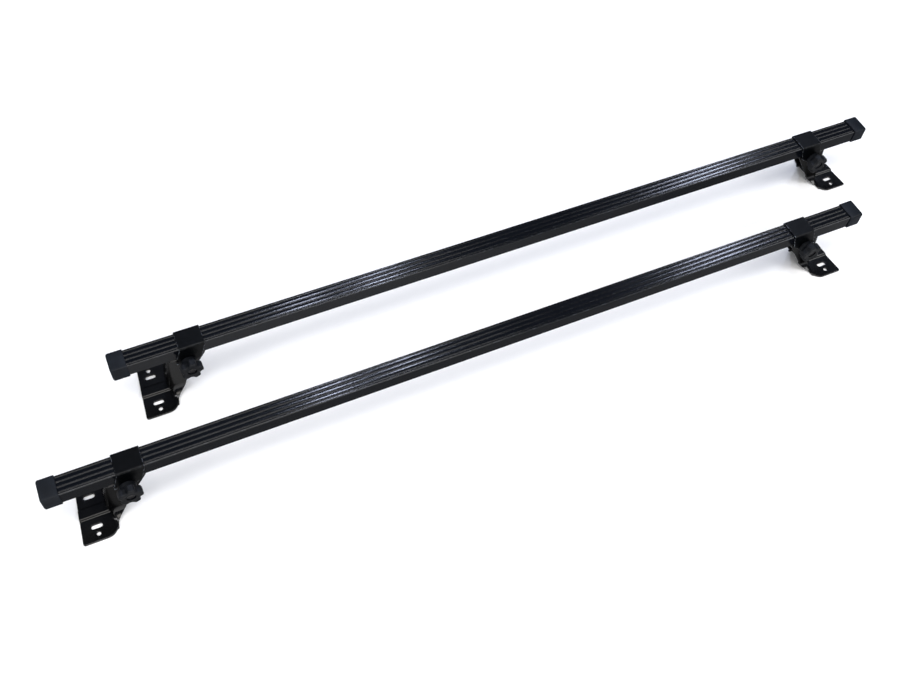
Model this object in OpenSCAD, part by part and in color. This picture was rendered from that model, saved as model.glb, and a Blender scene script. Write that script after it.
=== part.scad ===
// Ladder rack: two separate crossbars, each standing on two pressed-steel feet.
// Every foot is clamped to its bar by a strap and a hand knob, and slides along the bar when loose.
// X runs along the bars, Y across them towards the rear bar, Z up from the roof.

/* [Crossbars] */
// Overall length of a crossbar with its end caps
bar_length = 1524; // [1200:1:1800]
// Width of the tube, across the bar
bar_w = 35; // [30:1:40]
// Height of the tube
bar_h = 26; // [20:1:28]
// Wall thickness of the tube
bar_wall = 2.5; // [2:0.5:4]
// Height of the bar's centre line above the roof
bar_centre_z = 105; // [95:1:130]

/* [Spacing] */
// Distance between the two bars, front to back
bar_gap_y = 185; // [160:1:1000]
// Sideways offset between the two bars
bar_offset_x = 149; // [0:1:300]
// Distance of each clamp from the middle of its bar
foot_x = 627; // [300:1:650]

/* [End caps] */
// Length of an end cap along the bar
cap_length = 28; // [20:1:40]
// How far the cap stands proud of the tube
cap_proud = 2; // [1.5:0.5:4]
// Thickness of the cap's closed end
cap_end = 3; // [2:0.5:5]

/* [Foot bracket] */
// Sheet thickness of the foot
sheet = 3; // [2:0.5:4]
// Depth of the base plate, front to back
base_depth = 108; // [100:1:130]
// Outer edge of the base plate at the front, measured from the clamp's centre
base_outer = 107; // [98:1:120]
// How much closer to the clamp the outer edge is at the rear
base_taper = 9; // [0:1:10]
// Inner edge of the base plate, measured from the clamp's centre
base_inner = 48; // [46:1:54]
// Corner radius on the base plate's inner side
base_corner = 20; // [10:1:28]
// Line of the bolt holes, measured from the clamp's centre
hole_line = 80; // [74:1:86]
// Diameter of the round holes and width of the slots
hole_d = 7; // [6:0.5:9]
// End-to-end length of a slot
slot_length = 18; // [14:1:22]
// Distance between the two slots, front to back
slot_gap = 55; // [48:1:60]
// Distance between the two round holes, front to back
hole_gap = 82; // [78:1:90]

/* [Clamp] */
// Width of the strap along the bar
strap_w = 44; // [38:1:48]
// Thickness of the strap
strap_t = 2; // [1.5:0.5:3]
// Drop of the bolt below the bar's underside
bolt_drop = 8; // [8:0.5:12]
// Offset of the bolt from the strap's centre, towards the bar's end
bolt_shift = 12; // [9:1:14]
// Outer diameter of the knob
knob_d = 40; // [38:1:46]
// Depth of the knob
knob_depth = 24; // [18:1:28]

/* [Hidden] */

$fn = 48;
// A little extra, so that cutters pass right through.
over = 1;
// Sliding gap between the bar and what goes round it.
slide_gap = 0.25;

bar_corner = 2;
groove_r = 1.15;
groove_depth = 1.2;
// Four evenly spaced round grooves leave three flat ribs and a narrow strip along each edge.
groove_ys = [-0.375 * bar_w, -0.125 * bar_w, 0.125 * bar_w, 0.375 * bar_w];
cap_corner = 3;
cap_fit = 0.05;

bar_bottom = bar_centre_z - bar_h / 2;
bar_top = bar_centre_z + bar_h / 2;
saddle_top = bar_bottom - slide_gap;
wall_y = bar_w / 2;

// The upright is wide under the bar, and its walls sweep out into the base plate in a large bend.
bend_r = 20;
bend_top = sheet + bend_r;
upright_top_outer = 46;
upright_top_inner = 20;
upright_foot_outer = 57;
upright_foot_inner = 25;
upright_ground_outer = 51;
bead_half = 8;
bead_slope = 3;
bead_h = 3;

strap_inner_y = wall_y + slide_gap;
strap_outer_y = strap_inner_y + strap_t;
// The strap's sides lean towards the bar's end, down to a small turned-out lip and a round ear.
strap_skirt_z = bar_bottom - 6;
strap_lean = 10;
ear_r = 13;
ear_hole_r = 4.5;
lip_w = 5;
lip_h = 2;
lip_out = 3.5;

bolt_z = bar_bottom - bolt_drop;
bolt_r = 4;
nut_bore_r = bolt_r + 0.05;
hex_across = 13;
hex_r = hex_across / 2 / cos(30);
head_h = 5;
nut_h = 6.5;
washer_r = 9;
washer_t = 1.6;
knob_back_y = strap_outer_y + washer_t + 0.2;
knob_front_y = knob_back_y + knob_depth;
knob_lobes = 5;
hub_r = 13;
hub_depth = 9;
// A scallop between two lobes, and how far its centre lies from the bolt.
scallop_r = 7.5;
scallop_at = knob_d / 2 + 2.5;
recess_r = 7.6;
recess_depth = 8;
knob_turn = 12;

// Rectangle with round corners, centred on the origin.
module round_rect(w, h, r) {
    square([w - 2 * r, h], center = true);
    square([w, h - 2 * r], center = true);
    for (sx = [-1, 1], sy = [-1, 1])
        translate([sx * (w / 2 - r), sy * (h / 2 - r)]) circle(r);
}

// Turns a Y-Z section into a bar along X, centred on X = 0.
module along_x(len) {
    translate([-len / 2, 0, 0]) rotate([90, 0, 90]) linear_extrude(len) children();
}

// Turns an X-Z outline into a plate between two values of Y.
module across_y(y0, y1) {
    translate([0, y1, 0]) rotate([90, 0, 0]) linear_extrude(y1 - y0) children();
}

// Round bar along Y between two values of Y.
module pin_y(r, y0, y1) {
    translate([0, y0, 0]) rotate([-90, 0, 0]) cylinder(r = r, h = y1 - y0);
}

// Puts a piece on one of the bars: -1 is the front bar, 1 is the rear one.
module on_bar(row) {
    translate([row * bar_offset_x / 2, row * bar_gap_y / 2, 0]) children();
}

// Puts a foot's piece at one end of a bar: side -1 is the left end, 1 is the right end.
module at_foot(row, side) {
    on_bar(row) translate([side * foot_x, 0, 0]) mirror([side > 0 ? 1 : 0, 0, 0]) children();
}

module crossbar() {
    tube_len = bar_length - 2 * cap_end - 2 * cap_fit;
    color("#202226")
    translate([0, 0, bar_centre_z])
    along_x(tube_len)
    difference() {
        round_rect(bar_w, bar_h, bar_corner);
        round_rect(bar_w - 2 * bar_wall, bar_h - 2 * bar_wall, 1);
        for (y = groove_ys)
            translate([y, bar_h / 2 - groove_depth + groove_r]) circle(groove_r);
    }
}

// The right-hand cap. Three rounded outlines, one along each axis, meet in a block with round edges.
module end_cap_block() {
    outer_w = bar_w + 2 * cap_proud;
    outer_h = bar_h + 2 * cap_proud;
    intersection() {
        along_x(cap_length) round_rect(outer_w, outer_h, cap_corner);
        translate([-cap_corner, 0, 0])
        across_y(-outer_w, outer_w)
        round_rect(cap_length + 2 * cap_corner, outer_h, cap_corner);
        translate([-cap_corner, 0, -outer_h])
        linear_extrude(2 * outer_h)
        round_rect(cap_length + 2 * cap_corner, outer_w, cap_corner);
    }
}

module end_cap(side) {
    pocket = cap_length - cap_end;
    color("#2b3036")
    mirror([side > 0 ? 0 : 1, 0, 0])
    translate([bar_length / 2 - cap_length / 2, 0, bar_centre_z])
    difference() {
        end_cap_block();
        translate([-cap_end / 2 - over / 2, 0, 0])
        along_x(pocket + over)
        round_rect(bar_w + 2 * cap_fit, bar_h + 2 * cap_fit, bar_corner);
    }
}

// Plan view of the base plate, with large corners on its inner side.
module base_outline() {
    depth = base_depth / 2;
    corner_x = -base_inner - base_corner;
    polygon([
        [-base_outer, -depth],
        [corner_x, -depth],
        [corner_x, depth],
        [-base_outer + base_taper, depth]
    ]);
    translate([corner_x - over, -depth + base_corner])
    square([base_corner + over, base_depth - 2 * base_corner]);
    for (s = [-1, 1])
        translate([corner_x, s * (depth - base_corner)]) circle(base_corner);
}

// Raised bead across the plate, hollow underneath, from the outer edge into the upright.
module bead_section(inset) {
    half = bead_half - inset / 2;
    top = sheet + bead_h - inset;
    polygon([
        [-half - bead_slope, sheet - inset],
        [-half, top],
        [half, top],
        [half + bead_slope, sheet - inset],
        [half + bead_slope, -over],
        [-half - bead_slope, -over]
    ]);
}

// Front view of the upright, with its inner edge flaring out where it meets the base plate.
module upright_outline() {
    polygon([
        [-upright_ground_outer, 0],
        [-upright_foot_outer, bend_top],
        [-upright_top_outer, saddle_top],
        [upright_top_inner, saddle_top],
        [-upright_foot_inner, bend_top],
        [-upright_foot_inner - 6, bend_top / 2],
        [-upright_foot_inner - 13, sheet + 3],
        [-upright_foot_inner - 18, sheet + 1],
        [-base_inner, 0]
    ]);
}

// Y-Z section of the front bend: a quarter ring of sheet between the base plate and the wall.
module bend_section() {
    translate([-wall_y - bend_r, bend_top])
    difference() {
        intersection() {
            circle(bend_r + sheet);
            translate([0, -bend_r - sheet]) square(bend_r + sheet);
        }
        circle(bend_r);
    }
}

// Y-Z section of all the space inside the upright, down to the base plate.
module upright_section() {
    translate([-wall_y, 0]) square([2 * wall_y, saddle_top]);
    for (s = [-1, 1])
        difference() {
            translate([s * (wall_y + bend_r / 2 - 0.5), bend_top / 2])
            square([bend_r + 1, bend_top], center = true);
            translate([s * (wall_y + bend_r), bend_top]) circle(bend_r);
        }
}

// Front wall of the upright with its bend.
module upright_wall() {
    reach = base_inner + upright_foot_outer;
    across_y(-wall_y, -wall_y + sheet)
    difference() {
        upright_outline();
        translate([-reach, -over]) square([2 * reach, bend_top + over]);
    }
    intersection() {
        along_x(2 * reach) bend_section();
        across_y(-wall_y - bend_r, wall_y) upright_outline();
    }
}

// Outer edge of the upright, turned in between the walls, and the saddle that the bar sits on.
module upright_web() {
    intersection() {
        along_x(2 * base_outer) upright_section();
        across_y(-base_depth / 2, base_depth / 2)
        difference() {
            upright_outline();
            translate([sheet, -sheet]) upright_outline();
        }
    }
}

// Cutter for one slot, with its length along X.
module slot(h) {
    half = (slot_length - hole_d) / 2;
    translate([-half, -hole_d / 2, 0]) cube([2 * half, hole_d, h]);
    for (s = [-1, 1])
        translate([s * half, 0, 0]) cylinder(d = hole_d, h = h);
}

module base_holes() {
    for (s = [-1, 1]) {
        translate([-hole_line, s * hole_gap / 2, -over])
        cylinder(d = hole_d, h = sheet + 2 * over);
        translate([-hole_line, s * slot_gap / 2, -over]) slot(sheet + 2 * over);
    }
}

module foot_bracket() {
    bead_len = base_outer - upright_ground_outer;
    color("#17181a")
    difference() {
        union() {
            linear_extrude(sheet) base_outline();
            intersection() {
                translate([-base_outer + bead_len / 2, 0, 0]) along_x(bead_len) bead_section(0);
                linear_extrude(3 * sheet) base_outline();
            }
            upright_wall();
            mirror([0, 1, 0]) upright_wall();
            upright_web();
        }
        // The pressed bead is hollow below.
        translate([-base_outer + bead_len / 2 - sheet, 0, 0])
        along_x(bead_len)
        bead_section(sheet);
        base_holes();
        translate([-bolt_shift, 0, bolt_z]) pin_y(ear_hole_r, -bar_w, bar_w);
    }
}

// Face of the strap seen from the front: a leaning side, then a round ear at the bolt.
module strap_outline() {
    half = strap_w / 2;
    polygon([
        [-half, bar_top + 2 * strap_t],
        [half, bar_top + 2 * strap_t],
        [half, bar_top - strap_t],
        [half - strap_lean, strap_skirt_z],
        [-bolt_shift + 0.8 * ear_r, bolt_z - 0.6 * ear_r],
        [-bolt_shift - 0.8 * ear_r, bolt_z - 0.6 * ear_r],
        [-half - strap_lean, strap_skirt_z],
        [-half, bar_top - strap_t]
    ]);
    translate([-bolt_shift, bolt_z]) circle(ear_r);
}

module clamp_strap() {
    outer_top = bar_top + slide_gap + strap_t;
    inner_top = bar_top + slide_gap;
    outer_mid = outer_top / 2;
    color("#0d0e10") {
        difference() {
            intersection() {
                along_x(2 * strap_w)
                translate([0, outer_mid]) round_rect(2 * strap_outer_y, outer_top, 2.5);
                across_y(-bar_w, bar_w) strap_outline();
            }
            along_x(2 * strap_w + 2 * over)
            translate([0, inner_top / 2 - over])
            round_rect(2 * strap_inner_y, inner_top + 2 * over, 1);
            translate([-bolt_shift, 0, bolt_z]) pin_y(ear_hole_r, -bar_w, bar_w);
        }
        // Short lip turned out at the strap's lower corner, on each side.
        for (s = [-1, 1])
            translate([
                -strap_w / 2 - strap_lean,
                s > 0 ? strap_outer_y - strap_t / 2 : -strap_outer_y - lip_out,
                strap_skirt_z - lip_h / 2
            ])
            cube([lip_w, lip_out + strap_t / 2, lip_h]);
    }
}

// Moulded knob: a thick five-lobed head on a back hub, with a recess for the bolt's head.
module knob() {
    r = knob_d / 2;
    color("#33373c")
    translate([-bolt_shift, -knob_back_y, bolt_z])
    rotate([90, knob_turn, 0])
    difference() {
        rotate_extrude()
        polygon([
            [0, 0], [hub_r - 1, 0], [hub_r, hub_depth - 2], [r - 1.5, hub_depth], [r, hub_depth + 1.5],
            [r, knob_depth - 1.5], [r - 1.5, knob_depth], [0, knob_depth]
        ]);
        for (i = [0:knob_lobes - 1])
            rotate([0, 0, (i + 0.5) * 360 / knob_lobes])
            translate([scallop_at, 0, hub_depth - 3])
            cylinder(r = scallop_r, h = knob_depth);
        translate([0, 0, knob_depth - recess_depth]) cylinder(r = recess_r, h = recess_depth + over);
        translate([0, 0, -over]) cylinder(r = bolt_r, h = knob_depth);
    }
}

module clamp_bolt() {
    head_y = knob_front_y - recess_depth;
    color("#26272a")
    translate([-bolt_shift, 0, bolt_z]) {
        translate([0, -head_y, 0]) rotate([90, 0, 0]) cylinder(r = hex_r, h = head_h, $fn = 6);
        pin_y(bolt_r, -head_y, strap_outer_y + nut_h + 4);
    }
}

module washer() {
    color("#26272a")
    translate([-bolt_shift, -strap_outer_y - washer_t, bolt_z])
    rotate([-90, 0, 0])
    difference() {
        cylinder(r = washer_r, h = washer_t);
        translate([0, 0, -over]) cylinder(r = ear_hole_r, h = washer_t + 2 * over);
    }
}

module nut() {
    color("#26272a")
    translate([-bolt_shift, strap_outer_y, bolt_z])
    rotate([-90, 0, 0])
    difference() {
        cylinder(r = hex_r, h = nut_h, $fn = 6);
        translate([0, 0, -over]) cylinder(r = nut_bore_r, h = nut_h + 2 * over);
    }
}

on_bar(-1) crossbar();  // front_crossbar
on_bar(-1) end_cap(-1);  // front_left_end_cap
on_bar(-1) end_cap(1);  // front_right_end_cap
on_bar(1) crossbar();  // rear_crossbar
on_bar(1) end_cap(-1);  // rear_left_end_cap
on_bar(1) end_cap(1);  // rear_right_end_cap

at_foot(-1, -1) foot_bracket();  // front_left_foot_bracket
at_foot(-1, -1) clamp_strap();  // front_left_clamp_strap
at_foot(-1, -1) knob();  // front_left_knob
at_foot(-1, -1) clamp_bolt();  // front_left_clamp_bolt
at_foot(-1, -1) washer();  // front_left_washer
at_foot(-1, -1) nut();  // front_left_nut

at_foot(-1, 1) foot_bracket();  // front_right_foot_bracket
at_foot(-1, 1) clamp_strap();  // front_right_clamp_strap
at_foot(-1, 1) knob();  // front_right_knob
at_foot(-1, 1) clamp_bolt();  // front_right_clamp_bolt
at_foot(-1, 1) washer();  // front_right_washer
at_foot(-1, 1) nut();  // front_right_nut

at_foot(1, -1) foot_bracket();  // rear_left_foot_bracket
at_foot(1, -1) clamp_strap();  // rear_left_clamp_strap
at_foot(1, -1) knob();  // rear_left_knob
at_foot(1, -1) clamp_bolt();  // rear_left_clamp_bolt
at_foot(1, -1) washer();  // rear_left_washer
at_foot(1, -1) nut();  // rear_left_nut

at_foot(1, 1) foot_bracket();  // rear_right_foot_bracket
at_foot(1, 1) clamp_strap();  // rear_right_clamp_strap
at_foot(1, 1) knob();  // rear_right_knob
at_foot(1, 1) clamp_bolt();  // rear_right_clamp_bolt
at_foot(1, 1) washer();  // rear_right_washer
at_foot(1, 1) nut();  // rear_right_nut
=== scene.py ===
import math

import bpy
import numpy as np
from mathutils import Matrix, Vector


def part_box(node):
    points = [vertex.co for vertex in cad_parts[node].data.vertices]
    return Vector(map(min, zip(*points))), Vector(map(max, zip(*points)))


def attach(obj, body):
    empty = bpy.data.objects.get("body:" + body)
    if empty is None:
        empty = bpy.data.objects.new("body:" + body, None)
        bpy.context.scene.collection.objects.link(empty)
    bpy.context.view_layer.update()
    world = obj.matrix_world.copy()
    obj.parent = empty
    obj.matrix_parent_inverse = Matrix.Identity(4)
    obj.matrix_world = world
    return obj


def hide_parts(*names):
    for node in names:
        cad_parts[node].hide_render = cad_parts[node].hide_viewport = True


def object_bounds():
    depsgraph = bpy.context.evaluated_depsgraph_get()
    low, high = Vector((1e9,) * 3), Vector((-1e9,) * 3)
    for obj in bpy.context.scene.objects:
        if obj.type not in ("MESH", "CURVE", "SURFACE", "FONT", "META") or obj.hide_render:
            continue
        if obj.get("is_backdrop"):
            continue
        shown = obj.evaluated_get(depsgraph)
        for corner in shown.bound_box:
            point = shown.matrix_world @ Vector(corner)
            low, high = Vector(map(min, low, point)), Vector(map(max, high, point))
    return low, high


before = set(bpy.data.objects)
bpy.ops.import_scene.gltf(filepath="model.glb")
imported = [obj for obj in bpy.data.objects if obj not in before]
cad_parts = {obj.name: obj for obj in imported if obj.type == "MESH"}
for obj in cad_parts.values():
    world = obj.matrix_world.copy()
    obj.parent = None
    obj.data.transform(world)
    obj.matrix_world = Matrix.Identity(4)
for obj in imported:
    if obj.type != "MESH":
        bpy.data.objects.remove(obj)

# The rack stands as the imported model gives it: two bars, each on two clamped feet.
# Tubes and caps take their places from their own nodes, and a foot's pieces from its bracket.
cad_low, cad_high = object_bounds()


# ---------------------------------------------------------------------------
# Crossbars. Each is a rolled steel tube, 35 by 26 mm, with grooves pressed lengthwise into its top.
# It is powder coated black; the grooves leave three broad ribs that catch the lamps.

MM = 0.001


def linear(hex_colour):
    """A shop colour such as #202226, as the linear numbers that a shader works with."""
    parts = [int(hex_colour[i:i + 2], 16) / 255 for i in (1, 3, 5)]
    return [c / 12.92 if c <= 0.04045 else ((c + 0.055) / 1.055) ** 2.4 for c in parts] + [1.0]


def add_node(tree, kind, settings=None, **inputs):
    """Adds a node, sets its properties or a ramp's steps, then fills its sockets with values or links."""
    node = tree.nodes.new(kind)
    settings = dict(settings or {})
    steps = settings.pop("steps", ())
    for number, (place, colour) in enumerate(steps):
        points = node.color_ramp.elements
        point = points[number] if number < len(points) else points.new(place)
        point.position, point.color = place, linear(colour)
    for name, value in settings.items():
        setattr(node, name, value)
    for name, value in inputs.items():
        socket = node.inputs[int(name[1:])] if name[0] == "n" and name[1:].isdigit() \
            else node.inputs[name.replace("_", " ")]
        if isinstance(value, bpy.types.NodeSocket):
            tree.links.new(value, socket)
        else:
            socket.default_value = value
    return node


def gleam(tree, facing_eye, turned_away):
    """How strongly a coat mirrors: its fine texture shades itself, so its turned sides gleam less."""
    angle = add_node(tree, "ShaderNodeLayerWeight", Blend=0.5).outputs["Facing"]
    fade = add_node(tree, "ShaderNodeMapRange", n0=angle, n1=0.2, n2=0.5, n3=facing_eye, n4=turned_away)
    return fade.outputs["Result"]


def bare_coat(name):
    """A new material with no nodes yet, its tree, and the place on the piece that patterns start from."""
    made = bpy.data.materials.new(name)
    made.use_nodes = True
    made.node_tree.nodes.clear()
    place = add_node(made.node_tree, "ShaderNodeTexCoord").outputs["Object"]
    return made, made.node_tree, place


def powder_coat():
    """Semi-gloss black polyester powder on the tube: slightly blue, with a faint orange peel.
    The eye sees soft streaks of lamp light on the ribs, and greyer coat along the rubbed edges."""
    made, tree, place = bare_coat("powder_coated_tube")
    # The tube is drawn lengthwise, so its marks are fifty times longer than they are wide.
    drawn = add_node(tree, "ShaderNodeMapping", Vector=place, Scale=(6.0, 300.0, 300.0)).outputs["Vector"]
    lines = add_node(tree, "ShaderNodeTexNoise", Vector=drawn, Scale=3.0, Detail=4.0).outputs["Fac"]
    # Orange peel really has 1 mm waves; here they are 2.5 mm so that they show.
    peel = add_node(tree, "ShaderNodeTexNoise", Vector=place, Scale=400.0, Detail=2.0).outputs["Fac"]
    cloud = add_node(tree, "ShaderNodeTexNoise", Vector=place, Scale=9.0, Detail=3.0).outputs["Fac"]
    worn = add_node(tree, "ShaderNodeAttribute", {"attribute_name": "edge"}).outputs["Fac"]
    chips = add_node(tree, "ShaderNodeTexNoise", Vector=place, Scale=130.0, Detail=6.0).outputs["Fac"]
    chips = add_node(tree, "ShaderNodeMapRange", n0=chips, n1=0.5, n2=0.72).outputs["Result"]
    rubbed = add_node(tree, "ShaderNodeMath", {"operation": "MULTIPLY"}, n0=worn, n1=chips).outputs[0]
    tones = ((0.3, "#06080c"), (0.7, "#0b0d12"))
    coat = add_node(tree, "ShaderNodeValToRGB", {"steps": tones}, n0=cloud).outputs["Color"]
    coat = add_node(tree, "ShaderNodeMix", {"data_type": "RGBA"}, n0=rubbed, n6=coat, n7=linear("#2f3237"))
    rough = add_node(tree, "ShaderNodeMapRange", n0=lines, n3=0.11, n4=0.17).outputs["Result"]
    wave = add_node(tree, "ShaderNodeBump", Strength=0.12, Distance=0.0004, Height=peel).outputs["Normal"]
    wave = add_node(tree, "ShaderNodeBump", Strength=0.05, Distance=0.0002, Height=lines, Normal=wave)
    paint = add_node(tree, "ShaderNodeBsdfPrincipled", Base_Color=coat.outputs["Result"], Roughness=rough,
                     Normal=wave.outputs["Normal"], IOR=1.5, Specular_IOR_Level=gleam(tree, 0.38, 0.02))
    add_node(tree, "ShaderNodeOutputMaterial", Surface=paint.outputs["BSDF"])
    return made


TUBE_COAT = powder_coat()
GROOVES = (-0.375, -0.125, 0.125, 0.375)   # places across the width, as shares of it
GROOVE_R = 1.15
GROOVE_DEEP = 1.2
GROOVE_LIP = 0.5       # radius of the rounded edge on each side of a groove
RIB_CROWN = 0.12       # how far the middle of each rib stands above its edges
RIB_STEPS = 8
TUBE_CORNER = 2.0
TUBE_WALL = 2.5
BAR_STATIONS = 25


def arc(centre, radius, start, stop, steps, worn=1.0):
    """Points of an arc, in degrees, each marked with how much its place is rubbed."""
    made = []
    for i in range(steps + 1):
        angle = math.radians(start + (stop - start) * i / steps)
        made.append((centre[0] + radius * math.cos(angle), centre[1] + radius * math.sin(angle),
                     worn * math.sin(math.pi * i / steps)))
    return made


def tube_outline(width, height):
    """The tube's outer outline in millimetres, anticlockwise from its right side, with soft groove lips."""
    half_w, half_h, r, lip = width / 2, height / 2, TUBE_CORNER, GROOVE_LIP
    shoulder = half_h - RIB_CROWN
    last = len(GROOVES) - 1
    points = arc((half_w - r, shoulder - r), r, 0, 90, 6)
    spans = [share * width for share in reversed(GROOVES)] + [r - half_w]
    for k, y in enumerate(spans[:-1]):
        points += arc((y + GROOVE_R + lip, shoulder - lip), lip, 90, 165, 3)
        points += arc((y, shoulder - GROOVE_DEEP + GROOVE_R), GROOVE_R, -15, -165, 6, 0.0)
        points += arc((y - GROOVE_R - lip, shoulder - lip), lip, 15, 90, 3)
        # Each rib is slightly crowned between its two grooves, and the last strip runs flat to the corner.
        start, stop = y - GROOVE_R - lip, spans[k + 1] + (GROOVE_R + lip if k < last else 0)
        for i in range(1, RIB_STEPS):
            share = i / RIB_STEPS
            crown = RIB_CROWN * math.sin(math.pi * share) if k < last else 0.0
            points.append((start + (stop - start) * share, shoulder + crown, 0.0))
    points += arc((r - half_w, shoulder - r), r, 90, 180, 6)
    points += arc((r - half_w, r - half_h), r, 180, 270, 6)
    points += arc((half_w - r, r - half_h), r, 270, 360, 6)
    return points


def make_piece(name, points, faces, material, edge=None, smooth_angle=38):
    """A piece in metres from its points and faces, smooth but for its real corners."""
    mesh = bpy.data.meshes.new(name)
    mesh.from_pydata([tuple(p) for p in points], [], faces)
    mesh.materials.append(material)
    if edge is not None:
        mesh.attributes.new("edge", "FLOAT", "POINT").data.foreach_set("value", np.asarray(edge, "f"))
    mesh.shade_smooth()
    mesh.set_sharp_from_angle(angle=math.radians(smooth_angle))
    piece = bpy.data.objects.new(name, mesh)
    bpy.context.scene.collection.objects.link(piece)
    return piece


def node_box(node):
    """A node's lowest and highest corners."""
    low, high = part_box(node)
    return Vector(low), Vector(high)


for row in ("front", "rear"):
    low, high = node_box(f"{row}_crossbar")
    middle = (low + high) / 2
    size = (high - low) / MM
    outline = tube_outline(size.y, size.z)
    inner = ((size.y / 2 - TUBE_WALL) / (size.y / 2), (size.z / 2 - TUBE_WALL) / (size.z / 2))
    loops, edge = [], []
    # Outer skin from left to right in short lengths, then the bore back again.
    for x in np.linspace(low.x, high.x, BAR_STATIONS):
        loops.append([(x, middle.y + y * MM, middle.z + z * MM) for y, z, _ in outline])
        edge += [e for _, _, e in outline]
    for x in (high.x, low.x):
        loops.append([(x, middle.y + y * inner[0] * MM, middle.z + z * inner[1] * MM)
                      for y, z, _ in outline])
        edge += [0.0] * len(outline)
    count = len(outline)
    faces = []
    for a in range(len(loops)):
        b = (a + 1) % len(loops)
        for i in range(count):
            j = (i + 1) % count
            faces.append((a * count + i, a * count + j, b * count + j, b * count + i))
    tube = make_piece(f"{row}_tube", [p for loop in loops for p in loop], faces, TUBE_COAT, edge,
                      smooth_angle=50)
    tube.modifiers.new("flat_ribs", "WEIGHTED_NORMAL").keep_sharp = True
    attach(tube, f"{row}_bar")
    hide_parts(f"{row}_crossbar")


# ---------------------------------------------------------------------------
# End caps. Injection-moulded plastic cups pushed over the tube's ends, with soft corners.
# They stand 2 mm proud of the tube and are greyer and duller than the coat beside them.

def moulded_grain(name, dark, light, rough_low, rough_high, speck):
    """Moulded polypropylene or nylon: an even matt grey-black with a spark-eroded grain from the mould.
    The grain scatters the lamps, so the piece looks chalky beside coated steel."""
    made, tree, place = bare_coat(name)
    # Mould grain is really about 0.2 mm; here it is 0.8 mm so that it shows.
    grain = add_node(tree, "ShaderNodeTexNoise", Vector=place, Scale=1250.0, Detail=3.0).outputs["Fac"]
    cloud = add_node(tree, "ShaderNodeTexNoise", Vector=place, Scale=45.0, Detail=4.0).outputs["Fac"]
    scuff = add_node(tree, "ShaderNodeTexNoise", Vector=place, Scale=210.0, Detail=8.0,
                     Roughness=0.7).outputs["Fac"]
    scuff = add_node(tree, "ShaderNodeMapRange", n0=scuff, n1=0.52, n2=0.75).outputs["Result"]
    worn = add_node(tree, "ShaderNodeAttribute", {"attribute_name": "edge"}).outputs["Fac"]
    rubbed = add_node(tree, "ShaderNodeMath", {"operation": "MULTIPLY"}, n0=worn, n1=scuff).outputs[0]
    tones = ((0.3, dark), (0.7, light))
    plain = add_node(tree, "ShaderNodeValToRGB", {"steps": tones}, n0=cloud).outputs["Color"]
    tone = add_node(tree, "ShaderNodeMix", {"data_type": "RGBA"}, n0=rubbed, n6=plain, n7=linear(speck))
    rough = add_node(tree, "ShaderNodeMapRange", n0=cloud, n3=rough_low, n4=rough_high).outputs["Result"]
    bumps = add_node(tree, "ShaderNodeBump", Strength=0.35, Distance=0.0003, Height=grain).outputs["Normal"]
    plastic = add_node(tree, "ShaderNodeBsdfPrincipled", Base_Color=tone.outputs["Result"],
                       Roughness=rough, Normal=bumps, IOR=1.49, Specular_IOR_Level=gleam(tree, 0.16, 0.03))
    add_node(tree, "ShaderNodeOutputMaterial", Surface=plastic.outputs["BSDF"])
    return made


CAP_PLASTIC = moulded_grain("moulded_polypropylene_cap", "#101318", "#161a20", 0.46, 0.58, "#383d45")
CAP_ROUND = 3.4      # radius of the cap's corners
CAP_END = 3.0        # thickness of the closed end
CAP_CROWN = 0.5      # how far the closed end bulges
CAP_PLAY = 0.05      # gap all round between the pocket and the tube


def rounded_loop(half_w, half_h, radius, steps=7):
    """Points round a rectangle with soft corners; every loop has the same count."""
    made = []
    for sy, sz, start in ((1, 1, 0), (-1, 1, 90), (-1, -1, 180), (1, -1, 270)):
        centre = (sy * (half_w - radius), sz * (half_h - radius))
        made += arc(centre, radius, start, start + 90, steps)
    return made


def cap_stations(half_w, half_h, length, pocket_w, pocket_h):
    """From the closed end round to the pocket: distance in, half width, half height, radius, rubbing."""
    made = [(0.0, half_w * 0.35, half_h * 0.35, 2.0, 0.0),
            (CAP_CROWN * 0.5, half_w * 0.7, half_h * 0.7, 2.5, 0.0)]
    for i in range(7):
        turn = math.radians(90 * i / 6)
        inset = CAP_ROUND * (1 - math.sin(turn))
        made.append((CAP_CROWN + CAP_ROUND * (1 - math.cos(turn)), half_w - inset, half_h - inset,
                     CAP_ROUND, math.sin(2 * turn)))
    made += [(length * 0.6, half_w, half_h, CAP_ROUND, 0.0), (length - 0.6, half_w, half_h, CAP_ROUND, 0.3),
             (length - 0.15, half_w - 0.2, half_h - 0.2, CAP_ROUND, 1.0),
             (length, half_w - 0.6, half_h - 0.6, CAP_ROUND - 0.4, 0.5),
             (length, pocket_w, pocket_h, TUBE_CORNER, 0.0),
             (CAP_END, pocket_w, pocket_h, TUBE_CORNER, 0.0)]
    return made


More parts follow.
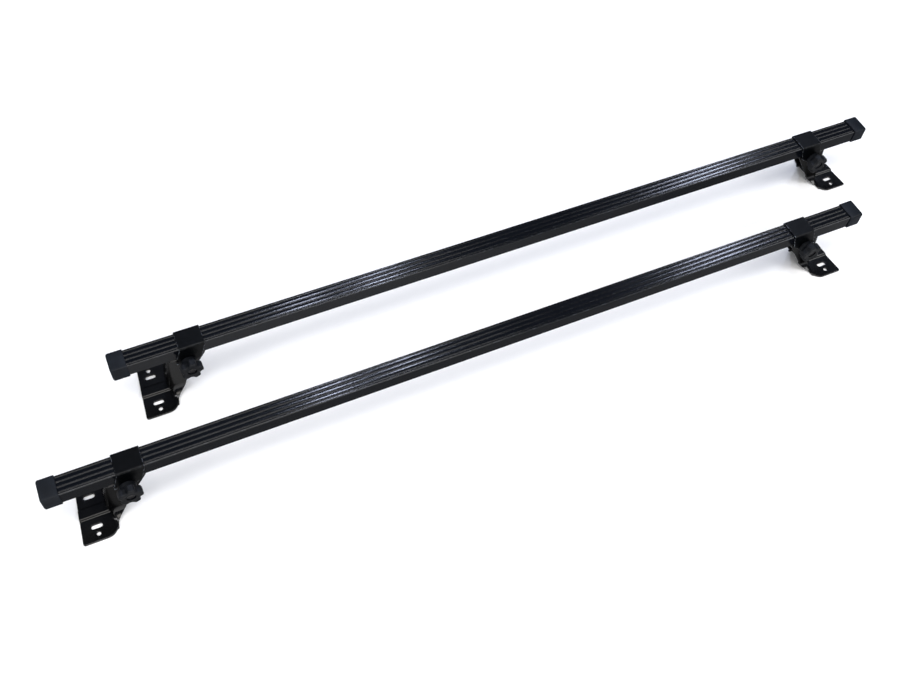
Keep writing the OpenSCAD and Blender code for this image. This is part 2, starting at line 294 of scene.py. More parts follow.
for row in ("front", "rear"):
    bar_low, bar_high = node_box(f"{row}_crossbar")
    pocket_w, pocket_h = ((bar_high[i] - bar_low[i]) / 2 / MM + CAP_PLAY for i in (1, 2))
    for side, outward in (("left", -1), ("right", 1)):
        low, high = node_box(f"{row}_{side}_end_cap")
        middle = (low + high) / 2
        size = (high - low) / MM
        end_x = low.x if outward < 0 else high.x
        points, edge, faces = [], [], []
        rows = cap_stations(size.y / 2, size.z / 2, size.x, pocket_w, pocket_h)
        for depth, half_w, half_h, radius, worn in rows:
            for y, z, _ in rounded_loop(half_w, half_h, radius):
                points.append((end_x - outward * depth * MM, middle.y + y * MM, middle.z + z * MM))
                edge.append(worn)
        count = len(points) // len(rows)
        for a in range(len(rows) - 1):
            for i in range(count):
                j = (i + 1) % count
                quad = (a * count + i, a * count + j, (a + 1) * count + j, (a + 1) * count + i)
                faces.append(quad if outward < 0 else quad[::-1])
        first = list(range(count))
        last = list(range((len(rows) - 1) * count, len(rows) * count))
        faces.append(first[::-1] if outward < 0 else first)
        faces.append(last if outward < 0 else last[::-1])
        cap = make_piece(f"{row}_{side}_cap", points, faces, CAP_PLASTIC, edge,
                         smooth_angle=60)
        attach(cap, f"{row}_bar")
        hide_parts(f"{row}_{side}_end_cap")


# ---------------------------------------------------------------------------
# Foot brackets. Each is one pressing of 3 mm steel: a slotted base plate with a bead across it,
# and an upright channel whose walls sweep up out of the plate to the saddle under the bar.

def soft_max(a, b, blend):
    """The larger of two distances, with the corner between them rounded over."""
    mix = np.maximum(blend - np.abs(a - b), 0.0) / blend
    return np.maximum(a, b) + mix * mix * blend / 4


def soft_min(a, b, blend):
    """The smaller of two distances, with the hollow between them filled by a round."""
    return -soft_max(-a, -b, blend)


def outline_distance(u, v, corners):
    """Distance from points to a closed outline, below zero inside it."""
    nearest, crossings = np.full(np.broadcast(u, v).shape, 1e9), 1.0
    for (u0, v0), (u1, v1) in zip(corners, corners[1:] + corners[:1]):
        du, dv = u1 - u0, v1 - v0
        share = np.clip(((u - u0) * du + (v - v0) * dv) / (du * du + dv * dv), 0, 1)
        nearest = np.minimum(nearest, np.hypot(u - u0 - share * du, v - v0 - share * dv))
        above = (v >= v0) != (v >= v1)
        if dv:
            left = u < u0 + (v - v0) * du / dv
            crossings = np.where(above & left, -1.0, 1.0) * crossings
    return nearest * crossings


def smooth_skin(shape, low, high, cell):
    """Points, quads and edge marks of the skin where a shape's distance is zero, all in millimetres."""
    low = np.array(low, float) - 0.37 * cell
    counts = [int(math.ceil((h - l) / cell)) + 2 for l, h in zip(low, high)]
    axes = [low[i] + cell * np.arange(counts[i]) for i in range(3)]
    grid = shape(axes[0][:, None, None], axes[1][None, :, None], axes[2][None, None, :])
    grid = np.ascontiguousarray(np.broadcast_to(grid, counts))
    solid = grid < 0
    corners = [(i, j, k) for i in (0, 1) for j in (0, 1) for k in (0, 1)]
    shifted = {c: tuple(slice(c[i], counts[i] - 1 + c[i]) for i in range(3)) for c in corners}
    filled = sum(solid[shifted[c]].astype(np.int8) for c in corners)
    used = np.argwhere((filled > 0) & (filled < 8))
    number = np.full([n - 1 for n in counts], -1)
    number[tuple(used.T)] = np.arange(len(used))
    total, hits = np.zeros((len(used), 3)), np.zeros((len(used), 1))
    for c in corners:
        for axis in range(3):
            if c[axis]:
                continue
            d = tuple(c[i] + (i == axis) for i in range(3))
            a, b = (grid[tuple((used + e).T)] for e in (c, d))
            cross = (a < 0) != (b < 0)
            share = np.where(cross, a / np.where(cross, a - b, 1), 0)
            spot = np.array(c) + share[:, None] * (np.arange(3) == axis)
            total += spot * cross[:, None]
            hits += cross[:, None]
    points = low + cell * (used + total / hits)
    faces = []
    for axis in range(3):
        b, c = (axis + 1) % 3, (axis + 2) % 3
        near = [slice(0, n) for n in counts]
        far = list(near)
        near[axis], far[axis] = slice(0, counts[axis] - 1), slice(1, counts[axis])
        for turned in (False, True):
            here, there = solid[tuple(near)], solid[tuple(far)]
            edges = np.argwhere(here & ~there if not turned else ~here & there)
            edges = edges[(edges[:, b] > 0) & (edges[:, c] > 0)
                          & (edges[:, b] < counts[b] - 1) & (edges[:, c] < counts[c] - 1)]
            step_b, step_c = (np.arange(3) == b).astype(int), (np.arange(3) == c).astype(int)
            ring = [edges - step_b - step_c, edges - step_c, edges, edges - step_b]
            quad = np.stack([number[tuple(r.T)] for r in ring], 1)
            faces.append(quad[:, ::-1] if turned else quad)
    faces = np.concatenate(faces)

    def at(p):
        return shape(p[:, 0], p[:, 1], p[:, 2])

    small = 0.2 * cell
    nudges = small * np.eye(3)
    for _ in range(4):
        slope = np.stack([at(points + n) - at(points - n) for n in nudges], 1) / (2 * small)
        steep = np.maximum((slope ** 2).sum(1), 0.05)
        move = slope * (at(points) / steep)[:, None]
        far = np.maximum(np.linalg.norm(move, axis=1) / (0.4 * cell), 1)
        points = points - move / far[:, None]
    wide = 0.8 * cell
    reach = nudges * wide / small
    bend = sum(at(points + r) + at(points - r) for r in reach) - 6 * at(points)
    normal = np.stack([at(points + n) - at(points - n) for n in nudges], 1)
    normal /= np.maximum(np.linalg.norm(normal, axis=1), 1e-9)[:, None]
    return points, faces, np.clip(bend / cell, 0, 1), normal


def set_in_place(name, skin, origin, mirrored, material):
    """Turns a skin in millimetres into a piece at a foot, mirrored for a right-hand one."""
    points, faces, edge, normal = skin
    flip = np.array([-1.0 if mirrored else 1.0, 1.0, 1.0])
    points = np.array(origin) + points * flip * MM
    faces = faces[:, ::-1] if mirrored else faces
    piece = make_piece(name, points, faces.tolist(), material, edge, smooth_angle=180)
    piece.data.normals_split_custom_set_from_vertices([tuple(n) for n in normal * flip])
    return piece


# A foot's sizes are in millimetres from the clamp's centre and the ground, for a left-hand foot.
BASE_OUTER = 107.0     # how far out the plate's front corner is
BASE_TAPER = 9.0       # how far in the outer edge slants from there to the back corner
BASE_INNER = 48.0
BASE_HALF = 54.0
BASE_CORNER = 20.0     # radius of the plate's inner corners
SHEET = 3.0
WALL_Y = 17.5
BEND = 20.0
SADDLE = 91.75
BEND_TOP = SHEET + BEND
OUTER_EDGE, OUTER_LEAN, OUTER_TUCK = -57.0, 11.0, 6.0
INNER_EDGE, INNER_LEAN, INNER_FLARE = -25.0, 45.0, 23.0
BOLT_X, BOLT_Z, BOLT_HOLE_R = -12.0, 84.0, 4.5
HOLE_LINE = -80.0
HOLE_R = 3.5
HOLE_ROW, SLOT_ROW, SLOT_HALF = 41.0, 27.5, 5.5     # SLOT_HALF is half of a slot's straight sides
BEAD_HIGH, BEAD_HALF, BEAD_SLOPE, BEAD_END = 3.0, 11.5, 4.0, -50.0


def wall_outer(z):
    """Outer edge of the upright: leans in from the saddle down to the bend, then tucks under."""
    low = np.clip((BEND_TOP - z) / BEND_TOP, 0, 1)
    high = np.clip((z - BEND_TOP) / (SADDLE - BEND_TOP), 0, 1.2)
    return OUTER_EDGE + OUTER_LEAN * high + OUTER_TUCK * low ** 1.5


def wall_inner(z):
    """Inner edge of the upright: leans out from the saddle, then flares into the plate."""
    low = np.clip((BEND_TOP - z) / (BEND_TOP - SHEET / 2), 0, 1)
    high = np.clip((z - BEND_TOP) / (SADDLE - BEND_TOP), 0, 1.2)
    return INNER_EDGE + INNER_LEAN * high - INNER_FLARE * low ** 1.9


def bracket(x, y, z):
    """Distance to the foot's skin. Edges that lean are scaled down to stay near true distances."""
    away = np.abs(y)
    # Space inside the upright, with its walls sweeping forward into the plate below the bend.
    ring = BEND - np.hypot(away - WALL_Y - BEND, z - BEND_TOP)
    side = np.where(z > BEND_TOP, away - WALL_Y, np.where(away > WALL_Y + BEND, z - SHEET, ring))
    inside = soft_max(soft_max(side, (wall_outer(z) - x) * 0.98, 9.0), z - SADDLE, 3.0)
    upright = soft_max(inside, -(inside + SHEET), 1.4)
    upright = soft_max(upright, (x - wall_inner(z)) * 0.82, 1.4)
    upright = soft_max(soft_max(upright, away - 50.0, 2.0), -z, 0.6)
    bolt_hole = BOLT_HOLE_R - np.hypot(x - BOLT_X, z - BOLT_Z)
    upright = soft_max(upright, bolt_hole, 0.8)
    # Base plate with its large inner corners and slightly slanting outer edge.
    qx = np.abs(x + BASE_INNER + 60.0) - 60.0 + BASE_CORNER
    qy = away - BASE_HALF + BASE_CORNER
    plan = np.hypot(np.maximum(qx, 0), np.maximum(qy, 0)) + np.minimum(np.maximum(qx, qy), 0) - BASE_CORNER
    slant = -(x + BASE_OUTER - BASE_TAPER * (y + BASE_HALF) / (2 * BASE_HALF))
    plan = soft_max(plan, soft_max(slant, away - BASE_HALF, 5.0), 0.5)
    # Bead across the plate, high in its middle and running out before the upright.
    bead = BEAD_HIGH * np.clip((BEAD_HALF - np.abs(y + 0.5)) / BEAD_SLOPE, 0, 1)
    bead = bead * bead * (9.0 - 2.0 * bead) / 9.0
    bead = bead * np.clip((BEAD_END - x) / 3.0, 0, 1)
    plate = soft_max(plan, (np.abs(z - bead - SHEET / 2) - SHEET / 2) * 0.85, 1.4)
    for row_y in (-HOLE_ROW, HOLE_ROW):
        plate = soft_max(plate, HOLE_R - np.hypot(x - HOLE_LINE, y - row_y), 0.8)
    for row_y in (-SLOT_ROW, SLOT_ROW):
        along = np.maximum(np.abs(x - HOLE_LINE) - SLOT_HALF, 0)
        plate = soft_max(plate, HOLE_R - np.hypot(along, y - row_y), 0.8)
    return soft_max(soft_min(upright, plate, 2.5), -z, 0.3)


def pressed_coat():
    """Gloss black stoving enamel, dipped over the pressed feet: thin, wet-looking and nearly pure black.
    Bends and pressed edges flash with sharp lamp light, and handling has left small grey scuffs."""
    made, tree, place = bare_coat("stoved_gloss_enamel")
    cloud = add_node(tree, "ShaderNodeTexNoise", Vector=place, Scale=22.0, Detail=5.0).outputs["Fac"]
    # The dipped coat has 4 mm waves, with fine 0.8 mm dust in it.
    wave = add_node(tree, "ShaderNodeTexNoise", Vector=place, Scale=240.0, Detail=2.0).outputs["Fac"]
    dust = add_node(tree, "ShaderNodeTexNoise", Vector=place, Scale=1200.0, Detail=2.0).outputs["Fac"]
    scuff = add_node(tree, "ShaderNodeTexNoise", Vector=place, Scale=150.0, Detail=9.0,
                     Roughness=0.75).outputs["Fac"]
    scuff = add_node(tree, "ShaderNodeMapRange", n0=scuff, n1=0.53, n2=0.7).outputs["Result"]
    worn = add_node(tree, "ShaderNodeAttribute", {"attribute_name": "edge"}).outputs["Fac"]
    rubbed = add_node(tree, "ShaderNodeMath", {"operation": "MULTIPLY"}, n0=worn, n1=scuff).outputs[0]
    tones = ((0.3, "#040405"), (0.7, "#090909"))
    coat = add_node(tree, "ShaderNodeValToRGB", {"steps": tones}, n0=cloud).outputs["Color"]
    coat = add_node(tree, "ShaderNodeMix", {"data_type": "RGBA"}, n0=rubbed, n6=coat, n7=linear("#2c2d30"))
    rough = add_node(tree, "ShaderNodeMapRange", n0=cloud, n3=0.14, n4=0.26).outputs["Result"]
    bumps = add_node(tree, "ShaderNodeBump", Strength=0.2, Distance=0.0003, Height=wave).outputs["Normal"]
    bumps = add_node(tree, "ShaderNodeBump", Strength=0.12, Distance=0.0002, Height=dust, Normal=bumps)
    paint = add_node(tree, "ShaderNodeBsdfPrincipled", Base_Color=coat.outputs["Result"], Roughness=rough,
                     Normal=bumps.outputs["Normal"], IOR=1.5, Specular_IOR_Level=gleam(tree, 0.5, 0.02))
    add_node(tree, "ShaderNodeOutputMaterial", Surface=paint.outputs["BSDF"])
    return made


FEET = [(row, side) for row in ("front", "rear") for side in ("left", "right")]
ENAMEL = pressed_coat()
BRACKET_SKIN = smooth_skin(bracket, (-109, -56, -2), (23, 56, 95), 1.0)


def foot_origin(row, side):
    """The clamp's centre at the underside of the foot, from the bracket's box."""
    low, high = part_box(f"{row}_{side}_foot_bracket")
    x = low[0] + BASE_OUTER * MM if side == "left" else high[0] - BASE_OUTER * MM
    return x, (low[1] + high[1]) / 2, low[2]


for row, side in FEET:
    foot = set_in_place(f"{row}_{side}_pressed_foot", BRACKET_SKIN, foot_origin(row, side),
                        side == "right", ENAMEL)
    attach(foot, f"{row}_{side}_foot")
    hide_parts(f"{row}_{side}_foot_bracket")


# ---------------------------------------------------------------------------
# Clamp straps. A 2 mm steel strip folded over the bar, with its two sides leaning down to the bolt.
# It is blacked and oiled, so it is the darkest piece, and its folded edges are rubbed bright.

STRAP_HALF = 22.0
STRAP_LEAN = 10.0
STRAP_OUT = 19.75
STRAP_TOP = 120.25
STRAP_SKIRT = 86.0
STRAP_THICK = 2.0
LEAN_START = 116.0
EAR_R = 13.0
EAR_SIDE, EAR_DROP = 0.8 * EAR_R, 0.6 * EAR_R     # where the leaning sides run into the ear's round
LIP_X, LIP_HALF = -29.5, 2.5
LIP_Y, LIP_REACH = 21.0, 2.25
STRAP_SIDE = [
    (-STRAP_HALF, STRAP_TOP + 5), (-STRAP_HALF, LEAN_START), (-STRAP_HALF - STRAP_LEAN, STRAP_SKIRT),
    (BOLT_X - EAR_SIDE, BOLT_Z - EAR_DROP), (BOLT_X + EAR_SIDE, BOLT_Z - EAR_DROP),
    (STRAP_HALF - STRAP_LEAN, STRAP_SKIRT), (STRAP_HALF, LEAN_START), (STRAP_HALF, STRAP_TOP + 5),
]


def strap(x, y, z):
    """Distance to the strap's skin."""
    away = np.abs(y)
    fold = 3.2     # outside radius of the folds over the bar

    def channel(half, top, radius):
        u, v = away - half + radius, z - top + radius
        return np.hypot(np.maximum(u, 0), np.maximum(v, 0)) + np.minimum(np.maximum(u, v), 0) - radius

    hollow = channel(STRAP_OUT - STRAP_THICK, STRAP_TOP - STRAP_THICK, fold - STRAP_THICK)
    sheet = soft_max(channel(STRAP_OUT, STRAP_TOP, fold), -hollow, 0.7)
    face = outline_distance(x, z, STRAP_SIDE)
    ear = np.hypot(x - BOLT_X, z - BOLT_Z) - EAR_R
    body = soft_max(sheet, np.minimum(face, ear), 0.9)
    body = soft_max(body, BOLT_HOLE_R - np.hypot(x - BOLT_X, z - BOLT_Z), 0.6)
    # Small lip turned out at the outer lower corner of each side.
    lip = np.maximum(np.abs(x - LIP_X) - LIP_HALF, np.abs(away - LIP_Y) - LIP_REACH)
    lip = soft_max(lip, np.abs(z - STRAP_SKIRT) - STRAP_THICK / 2, 0.8)
    return soft_min(body, lip, 1.2)


def blacked_steel():
    """Blacked, oiled strip steel: very dark and slightly satin, with bright steel along rubbed folds."""
    made, tree, place = bare_coat("blacked_strip_steel")
    cloud = add_node(tree, "ShaderNodeTexNoise", Vector=place, Scale=60.0, Detail=5.0).outputs["Fac"]
    # The blacking is crystalline at 0.1 mm; here it is 1 mm so that it shows.
    crystal = add_node(tree, "ShaderNodeTexVoronoi", Vector=place, Scale=1000.0).outputs["Distance"]
    nicks = add_node(tree, "ShaderNodeTexNoise", Vector=place, Scale=170.0, Detail=7.0,
                     Roughness=0.7).outputs["Fac"]
    nicks = add_node(tree, "ShaderNodeMapRange", n0=nicks, n1=0.5, n2=0.6).outputs["Result"]
    worn = add_node(tree, "ShaderNodeAttribute", {"attribute_name": "edge"}).outputs["Fac"]
    worn = add_node(tree, "ShaderNodeMapRange", n0=worn, n1=0.12, n2=0.5).outputs["Result"]
    bare = add_node(tree, "ShaderNodeMath", {"operation": "MULTIPLY"}, n0=worn, n1=nicks).outputs[0]
    tones = ((0.3, "#020304"), (0.7, "#050608"))
    black = add_node(tree, "ShaderNodeValToRGB", {"steps": tones}, n0=cloud).outputs["Color"]
    tone = add_node(tree, "ShaderNodeMix", {"data_type": "RGBA"}, n0=bare, n6=black, n7=linear("#6f747c"))
    rough = add_node(tree, "ShaderNodeMapRange", n0=crystal, n3=0.3, n4=0.44).outputs["Result"]
    metal = add_node(tree, "ShaderNodeMapRange", n0=bare, n3=0.0, n4=0.9).outputs["Result"]
    bumps = add_node(tree, "ShaderNodeBump", Strength=0.2, Distance=0.0003, Height=crystal).outputs["Normal"]
    steel = add_node(tree, "ShaderNodeBsdfPrincipled", Base_Color=tone.outputs["Result"], Roughness=rough,
                     Metallic=metal, Normal=bumps, Specular_IOR_Level=gleam(tree, 0.12, 0.02))
    add_node(tree, "ShaderNodeOutputMaterial", Surface=steel.outputs["BSDF"])
    return made


BLACKED = blacked_steel()
STRAP_SKIN = smooth_skin(strap, (-34, -25, 69), (24, 25, 122), 0.7)
for row, side in FEET:
    band = set_in_place(f"{row}_{side}_strap", STRAP_SKIN, foot_origin(row, side), side == "right", BLACKED)
    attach(band, f"{row}_{side}_foot")
    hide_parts(f"{row}_{side}_clamp_strap")


# ---------------------------------------------------------------------------
# Hand knobs. Glass-filled nylon mouldings with five squared lobes on a round hub.
# The bolt's head sits in a recess in the face, and the knob turns it by hand.

KNOB_BACK = -21.55
KNOB_R = 20.0
KNOB_TURN = math.radians(12)
LOBES = 5
SCALLOP_AT, SCALLOP_R = 22.5, 7.5     # a scallop's distance from the axis and its radius
HEAD_MIDDLE, HEAD_HALF = 16.5, 7.5    # the lobed head runs 9 to 24 mm out from the hub's back
HUB_R, HUB_HALF = 13.0, 6.0
RECESS_R, RECESS_FLOOR = 7.6, 16.0
SHANK_R = 4.0


def knob(x, y, z):
    """Distance to the knob's skin, with its face towards the front."""
    u, w = x - BOLT_X, z - BOLT_Z
    out = np.hypot(u, w)
    depth = KNOB_BACK - y
    angle = np.arctan2(u, w) - KNOB_TURN
    spread = 2 * math.pi / LOBES
    # Folds every lobe onto one, then cuts a scallop halfway to the next.
    turned = (angle + spread / 2) % spread - spread / 2
    px, pz = out * np.sin(np.abs(turned)), out * np.cos(turned)
    cut_x, cut_z = SCALLOP_AT * math.sin(spread / 2), SCALLOP_AT * math.cos(spread / 2)
    scallop = SCALLOP_R - np.hypot(px - cut_x, pz - cut_z)
    flat_tip = pz - KNOB_R + 0.5
    head = soft_max(soft_max(out - KNOB_R, flat_tip, 1.5), scallop, 2.4)
    # The face is dished by 0.8 mm between the recess and the lobes.
    dish = 0.8 * np.clip(1 - (out - 8.5) / 9.0, 0, 1) * np.clip((out - RECESS_R) / 1.2, 0, 1)
    head = soft_max(head, np.abs(depth - HEAD_MIDDLE) - HEAD_HALF + dish, 3.0)
    hub = soft_max(out - HUB_R, np.abs(depth - HUB_HALF) - HUB_HALF, 1.2)
    body = soft_min(head, hub, 2.5)
    recess = soft_max(out - RECESS_R, RECESS_FLOOR - depth, 0.6)
    bore = soft_max(out - SHANK_R, -depth - 1.0, 0.2)
    return soft_max(soft_max(body, -recess, 1.0), -bore, 0.4)


NYLON = moulded_grain("glass_filled_nylon_knob", "#090b0e", "#0f1115", 0.34, 0.46, "#33363c")
KNOB_SKIN = smooth_skin(knob, (-34, -47, 62), (10, -20, 106), 0.7)
for row, side in FEET:
    grip = set_in_place(f"{row}_{side}_hand_knob", KNOB_SKIN, foot_origin(row, side), side == "right", NYLON)
    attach(grip, f"{row}_{side}_knob_and_bolt")
    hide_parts(f"{row}_{side}_knob")


# ---------------------------------------------------------------------------
# Clamp bolts. M8 hexagon bolts, black plated, running from the knob through both sides of the strap.
# The thread is cut over the last 20 mm, where the nut sits behind the strap's rear ear.

def black_plate():
    """Black-dyed zinc plate over steel: near-black metal with a brown cast and a slightly milky sheen.
    Its corners rub through to paler zinc where a spanner or the knob's recess has touched them."""
    made, tree, place = bare_coat("black_zinc_plate")
    bloom = add_node(tree, "ShaderNodeTexNoise", Vector=place, Scale=260.0, Detail=5.0).outputs["Fac"]
    grain = add_node(tree, "ShaderNodeTexNoise", Vector=place, Scale=1500.0, Detail=3.0).outputs["Fac"]
    worn = add_node(tree, "ShaderNodeAttribute", {"attribute_name": "edge"}).outputs["Fac"]
    brown_cast = ((0.3, "#17171a"), (0.55, "#211f1e"), (0.8, "#2b2926"))
    plate = add_node(tree, "ShaderNodeValToRGB", {"steps": brown_cast}, n0=bloom).outputs["Color"]
    tone = add_node(tree, "ShaderNodeMix", {"data_type": "RGBA"}, n0=worn, n6=plate, n7=linear("#55565a"))
    bumps = add_node(tree, "ShaderNodeBump", Strength=0.15, Distance=0.0002, Height=grain).outputs["Normal"]
    rough = add_node(tree, "ShaderNodeMapRange", n0=bloom, n3=0.26, n4=0.45).outputs["Result"]
    metal = add_node(tree, "ShaderNodeBsdfPrincipled", Base_Color=tone.outputs["Result"],
                     Roughness=rough, Metallic=1.0, Normal=bumps)
    add_node(tree, "ShaderNodeOutputMaterial", Surface=metal.outputs["BSDF"])
    return made


BLACK_PLATE = black_plate()
TURN_STEPS = 48
HEX_FLAT = 6.5          # half of the 13 mm across the flats
HEX_CORNER = 7.5
THREAD_PITCH = 1.25
THREAD_DEEP = 0.7
THREAD_LENGTH = 20.0
THREAD_STEPS = 6        # rings in each turn of the thread


def hexagon(angle):
    """Distance from the axis to the side of a 13 mm hexagon at an angle."""
    return HEX_FLAT / np.cos((angle + math.pi / 6) % (math.pi / 3) - math.pi / 6)


def turned_piece(rings, closed):
    """A skin of rings round the bolt's axis. A ring is (y, radius, rubbing); its radius may be a function
    of the angle. A closed skin joins its last ring to its first, and an open one is capped."""
    angle = np.arange(TURN_STEPS) * 2 * math.pi / TURN_STEPS
    points, edge = [], []
    for y, radius, worn in rings:
        r = radius(angle) if callable(radius) else np.full(TURN_STEPS, radius)
        points.append(np.stack([BOLT_X + r * np.sin(angle), np.full(TURN_STEPS, y),
                                BOLT_Z + r * np.cos(angle)], 1))
        edge.append(np.full(TURN_STEPS, worn))
    n = len(rings)
    faces = []
    for a in range(n if closed else n - 1):
        b = (a + 1) % n
        for i in range(TURN_STEPS):
            j = (i + 1) % TURN_STEPS
            faces.append([a * TURN_STEPS + i, b * TURN_STEPS + i, b * TURN_STEPS + j, a * TURN_STEPS + j])
    if not closed:
        faces.append(list(range(TURN_STEPS)))
        faces.append(list(range((n - 1) * TURN_STEPS, n * TURN_STEPS))[::-1])
    return np.concatenate(points), faces, np.concatenate(edge)


def place_turned(name, made, origin, mirrored):
    """Sets a turned piece at a foot, mirrored for a right-hand one."""
    points, faces, edge = made
    flip = np.array([-1.0 if mirrored else 1.0, 1.0, 1.0])
    faces = [f[::-1] for f in faces] if mirrored else faces
    return make_piece(name, np.array(origin) + points * flip * MM, faces, BLACK_PLATE, edge,
                      smooth_angle=32)


def chamfered(cap):
    """A hexagon whose corners are turned away to a circle."""
    return lambda angle: np.minimum(hexagon(angle), cap)


def thread(y, start, fade):
    """The thread's radius round the bolt at one place along it."""
    def radius(angle):
        turn = ((y - start) / THREAD_PITCH + angle / (2 * math.pi)) % 1
        return SHANK_R - fade * THREAD_DEEP * np.abs(turn * 2 - 1)
    return radius


def bolt_rings():
    """The bolt's rings, from the dimple in its head back to the end of its thread."""
    low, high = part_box("front_left_clamp_bolt")
    origin = foot_origin("front", "left")
    front, back = (low[1] - origin[1]) / MM, (high[1] - origin[1]) / MM
    rings = [(front + 0.7, 4.2, 0.1), (front + 0.5, 4.6, 0.2), (front, 5.2, 0.2), (front, 6.3, 0.6),
             (front + 0.35, chamfered(7.0), 0.7), (front + 0.8, chamfered(HEX_CORNER), 0.3),
             (front + 4.6, chamfered(HEX_CORNER), 0.3), (front + 5.0, chamfered(6.9), 0.6),
             (front + 5.0, 4.5, 0.0), (front + 5.5, SHANK_R, 0.0)]
    start = back - THREAD_LENGTH
    rings.append((start, SHANK_R, 0.0))
    steps = int((back - 1.0 - start) / THREAD_PITCH * THREAD_STEPS)
    for i in range(1, steps + 1):
        y = start + i * THREAD_PITCH / THREAD_STEPS
        rings.append((y, thread(y, start, min(1.0, i / THREAD_STEPS)), 0.2))
    rings += [(back - 0.4, 3.1, 0.2), (back, 2.6, 0.4)]
    return rings


BOLT = turned_piece(bolt_rings(), closed=False)
for row, side in FEET:
    bolt = place_turned(f"{row}_{side}_hex_bolt", BOLT, foot_origin(row, side), side == "right")
    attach(bolt, f"{row}_{side}_knob_and_bolt")
    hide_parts(f"{row}_{side}_clamp_bolt")


# ---------------------------------------------------------------------------
# Washers and nuts. A flat washer keeps the knob's hub off the strap in front.
# An M8 nut behind takes the bolt's thread; its corners are chamfered on both faces.

def ring_piece(outer_rings, bore):
    """Closed ring: its outside from front to back, then the bore from back to front."""
    front, back = outer_rings[0][0], outer_rings[-1][0]
    inner = [(back, bore + 0.5, 0.2), (back - 0.4, bore, 0.1),
             (front + 0.4, bore, 0.1), (front, bore + 0.5, 0.2)]
    return turned_piece(outer_rings + inner, closed=True)


def span_y(node):
    """A node's front and back, in millimetres from the clamp's centre."""
    low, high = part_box(node)
    middle = foot_origin("front", "left")[1]
    return (low[1] - middle) / MM, (high[1] - middle) / MM


washer_front, washer_back = span_y("front_left_washer")
nut_front, nut_back = span_y("front_left_nut")
WASHER_R, WASHER_BORE, NUT_BORE = 8.95, 4.5, 4.05
WASHER = ring_piece([(washer_front, WASHER_R - 0.25, 0.4), (washer_front + 0.25, WASHER_R, 0.9),
                     (washer_back - 0.25, WASHER_R, 0.9), (washer_back, WASHER_R - 0.25, 0.4)], WASHER_BORE)
NUT = ring_piece([(nut_front, 6.4, 0.4), (nut_front + 0.7, chamfered(HEX_CORNER), 0.4),
                  (nut_back - 0.7, chamfered(HEX_CORNER), 0.4), (nut_back, 6.4, 0.4)], NUT_BORE)
for row, side in FEET:
    for made, name, node in ((WASHER, "flat_washer", "washer"), (NUT, "hex_nut", "nut")):
        piece = place_turned(f"{row}_{side}_{name}", made, foot_origin(row, side), side == "right")
        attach(piece, f"{row}_{side}_foot")
        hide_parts(f"{row}_{side}_{node}")


# ---------------------------------------------------------------------------
# The studio: a plain white floor, four small lamps behind the rack, and soft boxes round it.
# The air above is dim, so that black paint stays black and only the lamps streak across the ribs.

def matt_floor():
    """Matt white background paper, which takes soft shadows and mirrors almost nothing."""
    made = bpy.data.materials.new("matt_white_paper")
    made.use_nodes = True
    surface = made.node_tree.nodes["Principled BSDF"]
    surface.inputs["Base Color"].default_value = linear("#f6f6f6")
    surface.inputs["Roughness"].default_value = 0.95
    surface.inputs["Specular IOR Level"].default_value = 0.1
    return made


FLOOR_HALF = 6.0
FLOOR_GAP = 0.0004          # keeps the paper just clear of the feet
floor_corners = [(x * FLOOR_HALF, y * FLOOR_HALF, 0) for x, y in ((-1, -1), (1, -1), (1, 1), (-1, 1))]
floor = make_piece("floor", floor_corners, [(0, 1, 2, 3)], matt_floor())
floor.location.z = cad_low.z - FLOOR_GAP
floor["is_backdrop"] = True


def soft_lamp(name, place, aim, width, depth, watts, colour):
    """A rectangular soft box or lamp, turned to face the point it is aimed at."""
    light = bpy.data.lights.new(name, "AREA")
    light.shape = "RECTANGLE"
    light.size, light.size_y = width, depth
    light.energy = watts
    light.color = linear(colour)[:3]
    lamp = bpy.data.objects.new(name, light)
    lamp.location = place
    lamp.rotation_mode = "QUATERNION"
    lamp.rotation_quaternion = (Vector(aim) - Vector(place)).to_track_quat("-Z", "Y")
    bpy.context.scene.collection.objects.link(lamp)


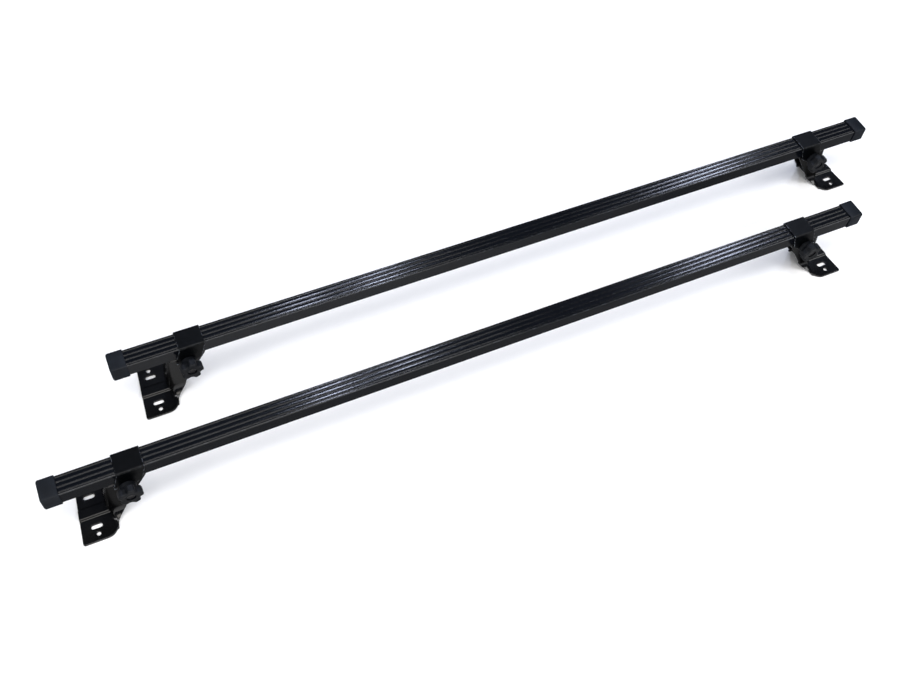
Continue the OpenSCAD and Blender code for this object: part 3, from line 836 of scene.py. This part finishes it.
# Four small lamps, each placed so that one bar mirrors it to the eye at one spot.
for number, (place, aim, watts) in enumerate((
        ((0.00, 1.24, 2.37), (-0.37, -0.09, 0.12), 6.0), ((0.38, 1.62, 2.23), (-0.21, 0.09, 0.12), 6.0),
        ((1.68, 1.07, 2.09), (0.34, -0.09, 0.12), 5.4), ((1.90, 1.41, 1.95), (0.48, 0.09, 0.12), 8.0))):
    soft_lamp(f"streak_lamp_{number + 1}", place, aim, 0.12, 0.3, watts, "#dce6ff")
soft_lamp("front_box", (-0.4, -2.7, 2.7), (0.1, 0.4, 0.0), 3.2, 1.8, 60, "#fffaf2")
soft_lamp("left_box", (-3.2, -0.2, 2.6), (0.0, 0.3, 0.0), 2.4, 2.0, 74, "#ffffff")
soft_lamp("right_box", (2.9, -1.6, 2.8), (0.2, 0.5, 0.0), 2.4, 2.0, 80, "#ffffff")
soft_lamp("high_box", (-0.3, -0.7, 3.6), (0.0, 0.3, 0.0), 3.2, 1.6, 82, "#ffffff")
soft_lamp("small_front", (0.2, -2.3, 1.7), (-0.2, 0.0, 0.0), 0.25, 0.25, 4, "#dce6ff")

world = bpy.data.worlds.new("dim_air")
world.use_nodes = True
world.node_tree.nodes["Background"].inputs["Color"].default_value = linear("#b4c2e0")
world.node_tree.nodes["Background"].inputs["Strength"].default_value = 0.12
bpy.context.scene.world = world
bpy.context.scene.view_settings.view_transform = "Standard"


# ---------------------------------------------------------------------------
# The camera looks down on the rack from the front left, as a person standing beside it would.
# Its film is 36 mm wide, and it is tipped about 5 degrees to one side.

FILM, LENS = 36, 40.0438
HEADING, TILT, ROLL = (math.radians(degrees) for degrees in (28.6518, 55.7523, 5.2420))
STAND = (-0.605291, -0.923615, 1.525222)
forward = Vector((math.sin(HEADING) * math.cos(TILT), math.cos(HEADING) * math.cos(TILT), -math.sin(TILT)))
right = Vector((math.cos(HEADING), -math.sin(HEADING), 0))
up = right.cross(forward)
across = right * math.cos(ROLL) + up * math.sin(ROLL)
upward = up * math.cos(ROLL) - right * math.sin(ROLL)
lens = bpy.data.cameras.new("camera")
lens.sensor_width = FILM
lens.lens = LENS
lens.clip_end = 50
camera = bpy.data.objects.new("camera", lens)
camera.matrix_world = Matrix((
    (across.x, upward.x, -forward.x, STAND[0]),
    (across.y, upward.y, -forward.y, STAND[1]),
    (across.z, upward.z, -forward.z, STAND[2]),
    (0, 0, 0, 1)))
bpy.context.scene.collection.objects.link(camera)
bpy.context.scene.camera = camera

low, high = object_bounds()
